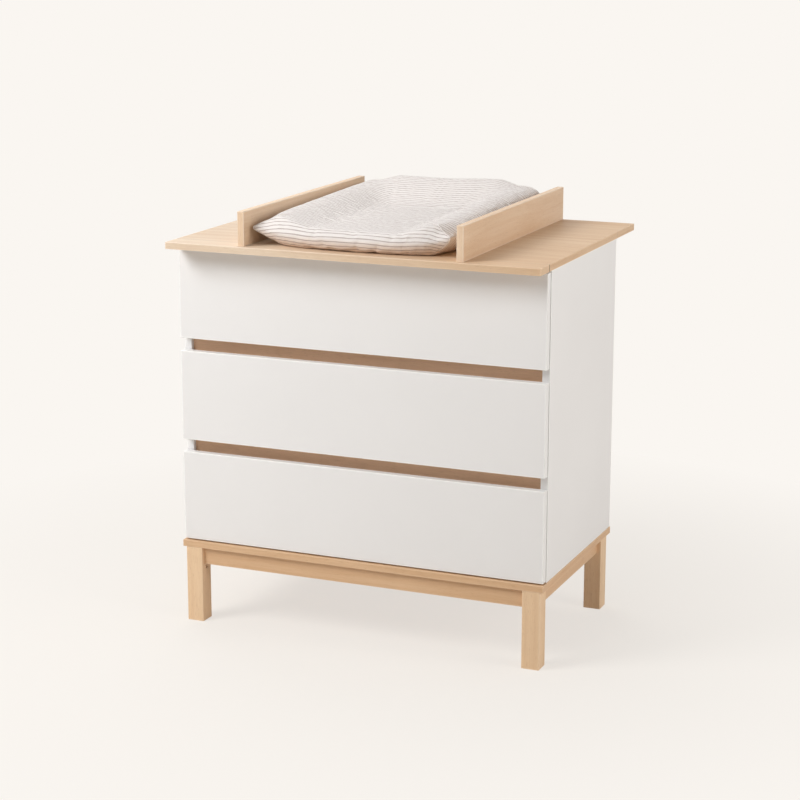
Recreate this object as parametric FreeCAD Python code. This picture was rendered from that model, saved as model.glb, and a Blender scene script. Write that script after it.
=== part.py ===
import FreeCAD, Part
import math
import os

# Changing dresser: three drawers on ball slides in a white body, a wooden leg frame, and a wooden
# changing frame with a contoured pad on top. Millimetres. +X is the right hand side seen from the
# front, +Y is the back and +Z is up. The origin is on the floor, in the middle of the outline.

# ---- body -------------------------------------------------------------------------------------
body_width = 900.0             # over the outer faces of the two side panels
body_depth = 490.0             # from the drawer fronts' faces to the back
side_thickness = 18.0
oak_thickness = 16.0           # top, bottom board, rails and the changing frame
oak_overhang = 2.0             # top and bottom board past each side panel
bottom_board_nose = 6.0        # bottom board in front of the drawer fronts
back_thickness = 3.0
back_rebate = 9.0              # how far the back panel laps into each side panel
rear_rail_height = 70.0

# ---- drawer fronts ----------------------------------------------------------------------------
front_height = 213.0
front_thickness = 19.0
finger_gap = 30.0              # between two fronts, where the fingers go in
floor_gap = 3.0                # under the lowest front
top_gap = 4.0                  # over the highest front
front_reveal = 1.0             # each front is narrower than the body by this, each side
bumper_thickness = 3.0
bumper_radius = 5.0
bumper_inset = 40.0            # bumper's centre from the front's lower and upper edge
rail_recess = 10.0             # grip rail's face behind the side panels' front edges
rail_overlap = 7.0             # grip rail past the finger gap, above and below

# ---- drawer boxes -----------------------------------------------------------------------------
box_wall = 12.0
box_lift = 26.0                # box's lower edge above its front's lower edge
box_drop = 27.0                # box's upper edge below its front's upper edge
box_rear_gap = 38.0            # behind the box, to the back panel
base_thickness = 4.0
base_lift = 10.0               # drawer base above the box's lower edge
groove_depth = 6.0
groove_clearance = 0.2

# ---- ball slides ------------------------------------------------------------------------------
slide_gap = 13.0               # side panel to drawer box
slide_rear_margin = 30.0       # slide shorter than the drawer box
slide_overlap = 20.0           # what stays in the slide when the drawer is right out
slide_height = 45.0
slide_steel = 1.2
slide_setback = 2.0            # slide's front end behind the side panel's front edge
slide_lift = 50.0              # slide's middle above the box's lower edge
cabinet_flange = 10.0
carriage_web_x = 4.0           # carriage's web, from the side panel
carriage_flange = 7.2
drawer_flange = 6.0
inner_ball_x = 4.0             # inner balls' centres from the drawer box
outer_ball = 3.8
inner_ball = 3.3
ball_clearance = 0.04
balls_per_row = 8
ball_end_margin = 10.0
carriage_ratio = 0.5           # the carriage's travel as a share of its drawer's
slide_screw_shares = (0.1, 0.5, 0.9)

# ---- leg frame --------------------------------------------------------------------------------
leg_height = 183.0
leg_width = 42.0
leg_front_inset = 1.0          # from the bottom board's front edge
leg_side_inset = 8.0           # from the bottom board's side edges
leg_rear_inset = 2.0           # from the bottom board's rear edge
leg_edge_radius = 2.0
apron_height = 41.0
apron_thickness = 18.0
apron_front_setback = 9.0      # behind the legs' front faces
apron_side_setback = 11.5      # inside the legs' outer faces
leg_hole_radius = 3.5
leg_hole_depth = 20.0
leg_hole_drop = 10.5           # hole's centre below the aprons
apron_screw_inset = 120.0      # from an apron's end to its screw

# ---- corner plates and hanger bolts -------------------------------------------------------------
plate_thickness = 2.0
plate_height = 30.0
plate_flange = 26.0
plate_reach = 50.0             # plate's bends from the aprons' meeting point, along each apron
hanger_radius = 3.0
hanger_depth = 22.0            # inside the leg
hanger_tail = 12.0             # past the corner plate
nut_sides = 6
nut_radius = 6.0
nut_thickness = 5.0

# ---- changing frame ---------------------------------------------------------------------------
front_ledge_depth = 57.0
rear_ledge_depth = 136.0
upright_height = 79.0
upright_front_inset = 11.0     # behind the front ledge's edge
ledge_screw_shares = (0.25, 0.75)       # along the upright's stretch over the front ledge
rear_ledge_screw_shares = (0.625, 0.875)    # along the rear ledge, from the body
bracket_leg = 40.0
bracket_width = 30.0
bracket_steel = 2.0
bracket_screw_share = 0.6      # screws' place along each leg, from the bend
bracket_screw_spread = 0.25    # each screw from the bracket's middle, as a share of its width
wall_bracket_width = 60.0
wall_hole_radius = 2.75
wall_hole_spacing = 36.0
wall_hole_drop = 24.0          # below the rear ledge

# ---- changing pad -----------------------------------------------------------------------------
pad_width = 490.0
pad_side_gap = 11.0            # pad to each upright
pad_nose = 40.0                # in front of the drawer fronts' plane
pad_rear_gap = 6.0             # pad to the rear ledge's edge
pad_rim_front = 67.0           # height of the two side rims at the front
pad_rim_rear = 82.0            # height of the two side rims at the back
pad_rear_crown = 11.0          # rear rim in the middle, above its two corners
pad_bowl = 48.0                # thickness in the middle
pad_side_draw = 5.0            # how far the sides pull in between the corners
pad_rim_radius = 35.0
pad_foot_inset = 44.0          # how far the underside stays inside the sides
pad_bowl_end = 0.66            # share of the length where the hollow starts to climb to the rear rim
pad_bowl_climb = 1.3           # how much sooner than the rear end it gets there
pad_end_round = 28.0           # how far in the two ends round over
pad_end_drop = 20.0            # how much lower the rims are at the very ends
pad_end_lift = 10.0            # how far the underside lifts at the very ends
pad_end_foot_inset = 50.0      # how much further in the foot ends at the very ends
pad_end_sharpness = 0.6        # how much smaller the rims' radius is at the very ends
pad_front_corner = 14.0        # how much narrower the pad is at its front end
pad_rear_corner = 42.0         # how much narrower the pad is at its rear end
pad_sink = 4.0                 # worked deeper than the foot, then cut flat
pad_end_steps = 5
pad_mid_steps = 8

# ---- fasteners --------------------------------------------------------------------------------
fastener_fit = 0.1             # each hole is wider than its fastener by this, all round
seat_run_out = 2.0             # a sunk head's hole is carried on past the face by this
screw_tip_cover = 2.0          # wood left in front of a screw's tip
long_radius = 2.5
long_head_radius = 5.0
long_head_height = 3.0
long_inset = 60.0              # from an edge or an end to the first screw
short_radius = 1.75
short_length = 14.0
short_head_radius = 3.5
short_head_height = 2.0
pin_radius = 3.0
pin_grip = 11.0                # how far a cam's pin goes into the other piece
cam_radius = 7.5
cam_floor = 3.5                # board left behind a cam
cam_distance = 24.0            # cam's centre from the joint
drawer_cam_radius = 6.0
drawer_cam_floor = 3.0
drawer_joint_shares = (0.25, 0.8)   # cams and screws along the box's height
drawer_screw_length = 35.0
dowel_radius = 4.0
dowel_half_length = 11.0
joint_spread = 11.0            # cam above and dowel below the middle of a rail's end
back_screw_rows = 5

edge_radius = 1.2              # rounding of the lacquered edges
oak_edge_radius = 0.8

# ---- places worked out from the sizes above -----------------------------------------------------
drawer_names = ["lower", "middle", "upper"]
overall_depth = front_ledge_depth + body_depth + rear_ledge_depth
front_y = -overall_depth / 2 + front_ledge_depth
box_front_y = front_y + front_thickness
carcass_front_y = box_front_y + bumper_thickness
back_y = front_y + body_depth
inner_back_y = back_y - back_thickness
rear_edge_y = overall_depth / 2
half_body = body_width / 2
half_inner = half_body - side_thickness
half_oak = half_body + oak_overhang
floor_z = leg_height + oak_thickness
pitch = front_height + finger_gap
fronts_height = len(drawer_names) * pitch - finger_gap
top_underside_z = floor_z + floor_gap + fronts_height + top_gap
top_z = top_underside_z + oak_thickness
rail_front_y = carcass_front_y + rail_recess
rail_height = finger_gap + 2 * rail_overlap
board_front_y = front_y - bottom_board_nose
leg_outer_x = half_oak - leg_side_inset
leg_inner_x = leg_outer_x - leg_width
leg_front_y = board_front_y + leg_front_inset
leg_rear_y = back_y - leg_rear_inset
apron_z = leg_height - apron_height
slide_front_y = carcass_front_y + slide_setback
half_box = half_inner - slide_gap
box_height = front_height - box_lift - box_drop
box_depth = inner_back_y - box_rear_gap - box_front_y
slide_length = box_depth - slide_rear_margin
drawer_travel = slide_length - slide_overlap
bay_width = pad_width + 2 * pad_side_gap
pad_front_y = front_y - pad_nose
pad_length = rear_edge_y - pad_rear_gap - pad_front_y
long_length = apron_height + oak_thickness - screw_tip_cover
slide_screw_length = box_wall - screw_tip_cover
cam_depth = oak_thickness - cam_floor
drawer_cam_depth = box_wall - drawer_cam_floor
upright_front_y = -overall_depth / 2 + upright_front_inset

parts = {}
X = FreeCAD.Vector(1, 0, 0)
Y = FreeCAD.Vector(0, 1, 0)
Z = FreeCAD.Vector(0, 0, 1)


def vec(x, y, z):
    return FreeCAD.Vector(x, y, z)


def block(x0, x1, y0, y1, z0, z1):
    low = vec(min(x0, x1), min(y0, y1), min(z0, z1))
    return Part.makeBox(abs(x1 - x0), abs(y1 - y0), abs(z1 - z0), low)


def rounded(shape, radius):
    return shape.makeFillet(radius, shape.Edges)


def upright_edges(shape):
    # the edges of a block that run along Z
    return [e for e in shape.Edges if abs(e.BoundBox.ZLength) > max(e.BoundBox.XLength, e.BoundBox.YLength)]


def rod(point, direction, radius, length):
    return Part.makeCylinder(radius, length, point, direction)


def screw(point, direction, radius, length, head_radius, head_height):
    # point is under the head; the head stands back from it, against the direction
    shank = rod(point, direction, radius, length)
    head = rod(point - direction * head_height, direction, head_radius, head_height)
    return shank.fuse(head).removeSplitter()


def screw_hole(point, direction, radius, length, head_radius, head_height):
    # the screw's own shape, wider all round by the fit, with its mouth carried on past the head
    shank = rod(point, direction, radius + fastener_fit, length + fastener_fit)
    mouth = rod(point - direction * (head_height + seat_run_out), direction,
                head_radius + fastener_fit, head_height + seat_run_out)
    return shank.fuse(mouth)


def group(shapes):
    return Part.makeCompound(shapes)


def drill(name, holes):
    parts[name] = parts[name].cut(group(holes)) if holes else parts[name]


# ---- fastener lists, filled while the pieces are joined -------------------------------------------
long_screws = []
short_screws = []
cam_locks = []
cam_pins = []
wood_dowels = []


def add_long(point, direction, targets):
    # a countersunk long screw, its head flush with the face that the point lies on
    seat = point + direction * long_head_height
    size = (long_radius, long_length - long_head_height, long_head_radius, long_head_height)
    long_screws.append(screw(seat, direction, *size))
    for target in targets:
        drill(target, [screw_hole(seat, direction, *size)])


def add_short(point, direction, targets):
    # a pan head short screw, its head standing on the face that the point lies on
    short_screws.append(screw(point, direction, short_radius, short_length, short_head_radius,
                              short_head_height))
    hole = rod(point - direction * short_head_height, direction, short_radius + fastener_fit,
               short_length + short_head_height + fastener_fit)
    for target in targets:
        drill(target, [hole])


def cam_and_pin(joint, along, face_normal, half_thickness, cam_size, cam_height):
    # joint: where the pin crosses the meeting faces; along: from the joint into the cam's own board
    # face_normal: out of the face that the cam is sunk in; half_thickness: pin's axis to that face
    centre = joint + along * cam_distance
    cam_start = centre + face_normal * (half_thickness - cam_height)
    cam = rod(cam_start, face_normal, cam_size, cam_height)
    pocket = rod(cam_start, face_normal, cam_size + fastener_fit, cam_height + fastener_fit)
    pin_start = joint - along * pin_grip
    pin = rod(pin_start, along, pin_radius, pin_grip + cam_distance)
    pin_hole = rod(pin_start - along * fastener_fit, along, pin_radius + fastener_fit,
                   pin_grip + cam_distance + 2 * fastener_fit)
    return cam.cut(pin_hole), pin, pocket.fuse(pin_hole), pin_hole


def add_cam(joint, along, face_normal, half_thickness, cam_board, pin_board):
    cam, pin, cam_hole, pin_hole = cam_and_pin(joint, along, face_normal, half_thickness,
                                               cam_radius, cam_depth)
    cam_locks.append(cam)
    cam_pins.append(pin)
    drill(cam_board, [cam_hole])
    drill(pin_board, [pin_hole])


def add_dowel(joint, along, targets):
    start = joint - along * dowel_half_length
    wood_dowels.append(rod(start, along, dowel_radius, 2 * dowel_half_length))
    hole = rod(start - along * fastener_fit, along, dowel_radius + fastener_fit,
               2 * (dowel_half_length + fastener_fit))
    for target in targets:
        drill(target, [hole])


# ---- leg frame --------------------------------------------------------------------------------
def make_legs():
    for side, sx in (("left", -1), ("right", 1)):
        for end, y0 in (("front", leg_front_y), ("rear", leg_rear_y - leg_width)):
            leg = block(sx * leg_inner_x, sx * leg_outer_x, y0, y0 + leg_width, 0, leg_height)
            leg = leg.makeFillet(leg_edge_radius, upright_edges(leg))
            hole = rod(vec(sx * leg_inner_x, y0 + leg_width / 2, apron_z - leg_hole_drop), X * sx,
                       leg_hole_radius, leg_hole_depth)
            parts["leg_%s_%s" % (end, side)] = leg.cut(hole)


def make_aprons():
    front_apron_y = leg_front_y + apron_front_setback
    rear_apron_y = leg_rear_y - apron_front_setback
    parts["apron_front"] = block(-leg_inner_x, leg_inner_x, front_apron_y,
                                 front_apron_y + apron_thickness, apron_z, leg_height)
    parts["apron_rear"] = block(-leg_inner_x, leg_inner_x, rear_apron_y - apron_thickness,
                                rear_apron_y, apron_z, leg_height)
    outer = leg_outer_x - apron_side_setback
    for side, sx in (("left", -1), ("right", 1)):
        parts["apron_" + side] = block(sx * outer, sx * (outer - apron_thickness),
                                       leg_front_y + leg_width, leg_rear_y - leg_width,
                                       apron_z, leg_height)


def make_corner_hardware():
    # each bent plate spans the corner behind a leg; a hanger bolt and a nut pull the leg in
    plates = []
    bolts = []
    nuts = []
    side_face = leg_outer_x - apron_side_setback - apron_thickness
    plate_z = apron_z + (apron_height - plate_height) / 2
    mid_z = apron_z + apron_height / 2
    mitre = plate_reach + plate_thickness * (math.sqrt(2) - 1)
    flange_end = plate_reach + plate_flange
    outline = [(flange_end, 0), (plate_reach, 0), (0, plate_reach), (0, flange_end),
               (plate_thickness, flange_end), (plate_thickness, mitre), (mitre, plate_thickness),
               (flange_end, plate_thickness), (flange_end, 0)]
    for side, sx in (("left", -1), ("right", 1)):
        for end, sy in (("front", 1), ("rear", -1)):
            leg_name = "leg_%s_%s" % (end, side)
            apron_face = leg_front_y + apron_front_setback + apron_thickness
            leg_face = leg_front_y + leg_width
            if sy < 0:
                apron_face = leg_rear_y - apron_front_setback - apron_thickness
                leg_face = leg_rear_y - leg_width
            corners = [vec(sx * (side_face - u), apron_face + sy * v, plate_z) for u, v in outline]
            plate = Part.Face(Part.makePolygon(corners)).extrude(Z * plate_height)
            # the bolt follows the diagonal out of the leg's inner corner, square to the plate
            inward = vec(-sx, sy, 0).normalize()
            corner = vec(sx * leg_inner_x, leg_face, mid_z)
            corner_in = (side_face - leg_inner_x + sy * (leg_face - apron_face)) / math.sqrt(2)
            web_out = plate_reach / math.sqrt(2) - corner_in + plate_thickness
            bolt_length = hanger_depth + web_out + hanger_tail
            clear = rod(corner - inward * (hanger_depth + fastener_fit), inward,
                        hanger_radius + fastener_fit, bolt_length)
            bolts.append(rod(corner - inward * hanger_depth, inward, hanger_radius, bolt_length))
            nuts.append(make_nut(corner + inward * web_out, inward).cut(clear))
            for name in (leg_name, "apron_" + end, "apron_" + side):
                drill(name, [clear])
            plates.append(plate.cut(clear))
            seat = plate_reach + plate_flange / 2
            add_plate_screw(plates, vec(sx * (side_face - seat), apron_face + sy * plate_thickness,
                                        mid_z), Y * -sy, "apron_" + end)
            add_plate_screw(plates, vec(sx * (side_face - plate_thickness), apron_face + sy * seat,
                                        mid_z), X * sx, "apron_" + side)
    parts["corner_plates"] = group(plates)
    parts["hanger_bolts"] = group(bolts)
    parts["hanger_nuts"] = group(nuts)


def add_plate_screw(plates, point, direction, apron):
    hole = rod(point - direction * short_head_height, direction, short_radius + fastener_fit,
               short_length + short_head_height)
    plates[-1] = plates[-1].cut(hole)
    add_short(point, direction, [apron])


def make_nut(start, direction):
    side = vec(-direction.y, direction.x, 0)
    corners = []
    for i in range(nut_sides + 1):
        turn = 2 * math.pi * i / nut_sides
        corners.append(start + side * (nut_radius * math.cos(turn)) + Z * (nut_radius * math.sin(turn)))
    return Part.Face(Part.makePolygon(corners)).extrude(direction * nut_thickness)


# ---- carcass ----------------------------------------------------------------------------------
def make_carcass():
    parts["bottom_board"] = rounded(block(-half_oak, half_oak, board_front_y, back_y,
                                          leg_height, floor_z), oak_edge_radius)
    parts["dresser_top"] = rounded(block(-half_oak, half_oak, front_y, back_y,
                                         top_underside_z, top_z), oak_edge_radius)
    for side, sx in (("left", -1), ("right", 1)):
        panel = block(sx * half_inner, sx * half_body, carcass_front_y, back_y, floor_z, top_underside_z)
        panel = panel.makeFillet(edge_radius, upright_edges(panel))
        rebate = block(sx * (half_inner - back_rebate), sx * (half_inner + back_rebate), inner_back_y,
                       back_y + back_thickness, floor_z, top_underside_z)
        parts["side_panel_" + side] = panel.cut(rebate)
    lap = half_inner + back_rebate - groove_clearance
    parts["back_panel"] = block(-lap, lap, inner_back_y, back_y, floor_z, top_underside_z)
    for name, level in (("grip_rail_lower", 1), ("grip_rail_upper", 2)):
        z0 = floor_z + floor_gap + level * pitch - finger_gap - rail_overlap
        parts[name] = block(-half_inner, half_inner, rail_front_y, rail_front_y + oak_thickness,
                            z0, z0 + rail_height)
    parts["rear_rail"] = block(-half_inner, half_inner, inner_back_y - oak_thickness, inner_back_y,
                               top_underside_z - rear_rail_height, top_underside_z)


def join_carcass():
    for side, sx in (("left", -1), ("right", 1)):
        panel = "side_panel_" + side
        panel_mid_x = sx * (half_inner + side_thickness / 2)
        panel_length = back_y - carcass_front_y
        # bottom board to side panel, from below
        joint_places = (carcass_front_y + long_inset, carcass_front_y + panel_length / 2,
                        back_y - long_inset)
        for y in joint_places:
            add_long(vec(panel_mid_x, y, leg_height), Z, ["bottom_board", panel])
        # top to side panel
        for y in (joint_places[0], joint_places[2]):
            add_cam(vec(panel_mid_x, y, top_underside_z), Z * -1, X * -sx, side_thickness / 2,
                    panel, "dresser_top")
        add_dowel(vec(panel_mid_x, joint_places[1], top_underside_z), Z, [panel, "dresser_top"])
        # rails to side panel
        rails = [("grip_rail_lower", Y), ("grip_rail_upper", Y), ("rear_rail", Y * -1)]
        for rail, open_face in rails:
            box = parts[rail].BoundBox
            mid_y = (box.YMin + box.YMax) / 2
            mid_z = (box.ZMin + box.ZMax) / 2
            add_cam(vec(sx * half_inner, mid_y, mid_z + joint_spread), X * -sx, open_face,
                    oak_thickness / 2, rail, panel)
            add_dowel(vec(sx * half_inner, mid_y, mid_z - joint_spread), X, [rail, panel])
        # back panel to side panel
        back_span = top_underside_z - floor_z - 2 * long_inset
        for row in range(back_screw_rows):
            z = floor_z + long_inset + back_span * row / (back_screw_rows - 1)
            add_short(vec(sx * (half_inner + back_rebate / 2), back_y, z), Y * -1,
                      ["back_panel", panel])
    # leg frame to bottom board, from below through the aprons
    for side, sx in (("left", -1), ("right", 1)):
        side_x = sx * (leg_outer_x - apron_side_setback - apron_thickness / 2)
        for y in (leg_front_y + leg_width + apron_screw_inset,
                  leg_rear_y - leg_width - apron_screw_inset):
            add_long(vec(side_x, y, apron_z), Z, ["apron_" + side, "bottom_board"])
        for end, y in (("front", leg_front_y + apron_front_setback + apron_thickness / 2),
                       ("rear", leg_rear_y - apron_front_setback - apron_thickness / 2)):
            add_long(vec(sx * (leg_inner_x - apron_screw_inset), y, apron_z), Z,
                     ["apron_" + end, "bottom_board"])


# ---- changing frame ---------------------------------------------------------------------------
def make_changing_frame():
    parts["front_ledge"] = rounded(block(-half_oak, half_oak, -overall_depth / 2, front_y,
                                         top_underside_z, top_z), oak_edge_radius)
    parts["rear_ledge"] = rounded(block(-half_oak, half_oak, back_y, rear_edge_y,
                                        top_underside_z, top_z), oak_edge_radius)
    for side, sx in (("left", -1), ("right", 1)):
        inner = bay_width / 2
        parts["upright_" + side] = rounded(block(sx * inner, sx * (inner + oak_thickness),
                                                 upright_front_y, rear_edge_y, top_z,
                                                 top_z + upright_height), oak_edge_radius)


def join_changing_frame():
    brackets = []
    front_overlap = front_y - upright_front_y
    for side, sx in (("left", -1), ("right", 1)):
        upright = "upright_" + side
        x = sx * (bay_width + oak_thickness) / 2
        for share in ledge_screw_shares:
            add_long(vec(x, upright_front_y + front_overlap * share, top_underside_z), Z,
                     ["front_ledge", upright])
        for share in rear_ledge_screw_shares:
            add_long(vec(x, back_y + rear_ledge_depth * share, top_underside_z), Z,
                     ["rear_ledge", upright])
        brackets.append(angle_bracket(x, bracket_width, back_y, 1, ["rear_ledge"],
                                      ["back_panel", "rear_rail"]))
    parts["frame_brackets"] = group(brackets)
    wall = angle_bracket(0, wall_bracket_width, rear_edge_y, -1, ["rear_ledge"], [])
    holes = [rod(vec(sx * wall_hole_spacing / 2, rear_edge_y - bracket_steel,
                     top_underside_z - wall_hole_drop), Y, wall_hole_radius, bracket_steel)
             for sx in (-1, 1)]
    parts["wall_bracket"] = wall.cut(group(holes))


def angle_bracket(x, width, corner_y, toward, ledge_targets, wall_targets):
    # an angle of sheet steel under the rear ledge; toward is the way its flat leg runs along Y
    flat = block(x - width / 2, x + width / 2, corner_y, corner_y + toward * bracket_leg,
                 top_underside_z - bracket_steel, top_underside_z)
    upright_leg = block(x - width / 2, x + width / 2, corner_y, corner_y + toward * bracket_steel,
                        top_underside_z - bracket_leg, top_underside_z)
    bracket = flat.fuse(upright_leg).removeSplitter()
    for sx in (-1, 1):
        screw_x = x + sx * width * bracket_screw_spread
        point = vec(screw_x, corner_y + toward * bracket_leg * bracket_screw_share,
                    top_underside_z - bracket_steel)
        bracket = bracket.cut(rod(point, Z, short_radius + fastener_fit, bracket_steel))
        add_short(point, Z, ledge_targets)
        if wall_targets:
            point = vec(screw_x, corner_y + toward * bracket_steel,
                        top_underside_z - bracket_leg * bracket_screw_share)
            bracket = bracket.cut(rod(point, Y * -toward, short_radius + fastener_fit, bracket_steel))
            add_short(point, Y * -toward, wall_targets)
    return bracket


# ---- drawers ----------------------------------------------------------------------------------
def channel(x_web, x_flange_end, half_height, y0, length, z):
    # a steel channel along Y: the web at x_web, the two flanges running towards x_flange_end
    sign = 1 if x_flange_end > x_web else -1
    web = block(x_web, x_web + sign * slide_steel, y0, y0 + length, z - half_height, z + half_height)
    flanges = [block(x_web, x_flange_end, y0, y0 + length, z + s * half_height,
                     z + s * (half_height - slide_steel)) for s in (-1, 1)]
    return web.fuse(flanges).removeSplitter()


def ball_row(x, z, y_first, y_last, diameter):
    balls = []
    for i in range(balls_per_row):
        y = y_first + (y_last - y_first) * i / (balls_per_row - 1)
        balls.append(Part.makeSphere(diameter / 2 - ball_clearance / 2, vec(x, y, z)))
    return balls


def make_slides(name, z):
    cabinet = []
    carriage = []
    drawer = []
    drawer_screws = []
    carriage_half = slide_height / 2 - slide_steel - outer_ball
    drawer_half = carriage_half - slide_steel - inner_ball
    moved = drawer_travel * carriage_ratio
    screw_places = [slide_front_y + slide_length * share for share in slide_screw_shares]
    for side, sx in (("left", -1), ("right", 1)):
        wall = sx * half_inner
        fixed = channel(wall, wall - sx * cabinet_flange, slide_height / 2, slide_front_y,
                        slide_length, z)
        web_face = wall - sx * slide_steel
        for y in screw_places:
            point = vec(web_face, y, z)
            fixed = fixed.cut(rod(point, X * sx, short_radius + fastener_fit, slide_steel))
            add_short(point, X * sx, ["side_panel_" + side])
        cabinet.append(fixed)
        web = wall - sx * carriage_web_x
        carriage.append(channel(web, web - sx * carriage_flange, carriage_half, slide_front_y,
                                slide_length, z))
        outer_x = wall - sx * (carriage_web_x + cabinet_flange) / 2
        box_x = sx * half_box
        inner_x = box_x + sx * inner_ball_x
        for s in (-1, 1):
            outer_z = z + s * (carriage_half + outer_ball / 2)
            inner_z = z + s * (drawer_half + inner_ball / 2)
            carriage += ball_row(outer_x, outer_z, slide_front_y + moved + ball_end_margin,
                                 slide_front_y + slide_length - ball_end_margin, outer_ball)
            carriage += ball_row(inner_x, inner_z, slide_front_y + ball_end_margin,
                                 slide_front_y + slide_length - moved - ball_end_margin, inner_ball)
        moving = channel(box_x, box_x + sx * drawer_flange, drawer_half, slide_front_y,
                         slide_length, z)
        box_side = "%s_drawer_%s_side" % (name, side)
        for y in screw_places:
            point = vec(box_x + sx * slide_steel, y, z)
            moving = moving.cut(rod(point, X * -sx, short_radius + fastener_fit, slide_steel))
            drawer_screws.append(screw(point, X * -sx, short_radius, slide_screw_length,
                                       short_head_radius, short_head_height))
            drill(box_side, [rod(point, X * -sx, short_radius + fastener_fit,
                                 slide_screw_length + fastener_fit)])
        drawer.append(moving)
    parts[name + "_cabinet_slides"] = group(cabinet)
    parts[name + "_slide_carriages"] = group(carriage)
    parts[name + "_drawer_slides"] = group(drawer)
    return drawer_screws


def make_drawer(name, level):
    front_z = floor_z + floor_gap + level * pitch
    box_z = front_z + box_lift
    base_z = box_z + base_lift
    half_front = half_body - front_reveal
    box_rear_y = box_front_y + box_depth
    tag = name + "_drawer_"
    front = rounded(block(-half_front, half_front, front_y, box_front_y, front_z,
                          front_z + front_height), edge_radius)
    groove_z = (base_z - groove_clearance, base_z + base_thickness + groove_clearance)
    groove_x = half_box - box_wall + groove_depth
    front_groove = block(-groove_x, groove_x, box_front_y - groove_depth, box_front_y, *groove_z)
    parts[tag + "front"] = front.cut(front_groove)
    for side, sx in (("left", -1), ("right", 1)):
        wall = block(sx * half_box, sx * (half_box - box_wall), box_front_y, box_rear_y,
                     box_z, box_z + box_height)
        groove = block(sx * groove_x, sx * (half_box - box_wall), box_front_y, box_rear_y, *groove_z)
        parts[tag + side + "_side"] = wall.cut(groove)
    half_inside = half_box - box_wall
    parts[tag + "back"] = block(-half_inside, half_inside, box_rear_y - box_wall, box_rear_y,
                                base_z + base_thickness, box_z + box_height)
    base_x = groove_x - groove_clearance
    parts[tag + "base"] = block(-base_x, base_x, box_front_y - groove_depth + groove_clearance,
                                box_rear_y, base_z, base_z + base_thickness)

    fittings = make_slides(name, box_z + slide_lift)
    for side, sx in (("left", -1), ("right", 1)):
        box_side = tag + side + "_side"
        mid_x = sx * (half_box - box_wall / 2)
        for share in drawer_joint_shares:
            joint = vec(mid_x, box_front_y, box_z + box_height * share)
            cam, pin, cam_hole, pin_hole = cam_and_pin(joint, Y, X * -sx, box_wall / 2,
                                                       drawer_cam_radius, drawer_cam_depth)
            fittings += [cam, pin]
            drill(box_side, [cam_hole])
            drill(tag + "front", [pin_hole])
            seat = vec(sx * (half_box - long_head_height), box_rear_y - box_wall / 2,
                       box_z + box_height * share)
            size = (long_radius, drawer_screw_length, long_head_radius, long_head_height)
            fittings.append(screw(seat, X * -sx, *size))
            hole = screw_hole(seat, X * -sx, *size)
            drill(box_side, [hole])
            drill(tag + "back", [hole])
    parts[tag + "fittings"] = group(fittings)


def make_bumpers():
    bumpers = []
    x = half_inner + side_thickness / 2
    for level in range(len(drawer_names)):
        front_z = floor_z + floor_gap + level * pitch
        for z in (front_z + bumper_inset, front_z + front_height - bumper_inset):
            for sx in (-1, 1):
                bumpers.append(rod(vec(sx * x, box_front_y, z), Y, bumper_radius, bumper_thickness))
    parts["drawer_bumpers"] = group(bumpers)


# ---- changing pad -----------------------------------------------------------------------------
def pad_section(y, half_width, rim, bowl, foot, foot_half, rim_radius):
    # one closed outline across the pad: a flat foot, two bulging sides that run over the rims, and
    # a hollow or a crown between the rims. Each arc meets the next one tangent.
    rim_x = half_width - rim_radius
    rim_z = rim - rim_radius
    lean = 2 * math.atan2(rim - bowl, rim_x)
    meet_x = rim_x - rim_radius * math.sin(lean)
    meet_z = rim_z + rim_radius * math.cos(lean)
    side_in = half_width - foot_half
    side_up = rim_z - foot
    side_radius = (side_in ** 2 + side_up ** 2) / (2 * side_in)
    sweep = math.atan2(side_up, side_radius - side_in) / 2
    side_x = half_width - side_radius + side_radius * math.cos(sweep)
    side_z = rim_z - side_radius * math.sin(sweep)
    crown = (math.pi / 2 + lean) / 2
    crown_x = rim_x + rim_radius * math.cos(crown)
    crown_z = rim_z + rim_radius * math.sin(crown)

    def at(x, z):
        return vec(x, y, z)

    edges = [Part.LineSegment(at(-foot_half, foot), at(foot_half, foot)),
             Part.Arc(at(foot_half, foot), at(side_x, side_z), at(half_width, rim_z)),
             Part.Arc(at(half_width, rim_z), at(crown_x, crown_z), at(meet_x, meet_z)),
             Part.Arc(at(meet_x, meet_z), at(0, bowl), at(-meet_x, meet_z)),
             Part.Arc(at(-meet_x, meet_z), at(-crown_x, crown_z), at(-half_width, rim_z)),
             Part.Arc(at(-half_width, rim_z), at(-side_x, side_z), at(-foot_half, foot))]
    return Part.Wire([e.toShape() for e in edges])


def smooth(share):
    share = min(max(share, 0.0), 1.0)
    return share * share * (3 - 2 * share)


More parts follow.
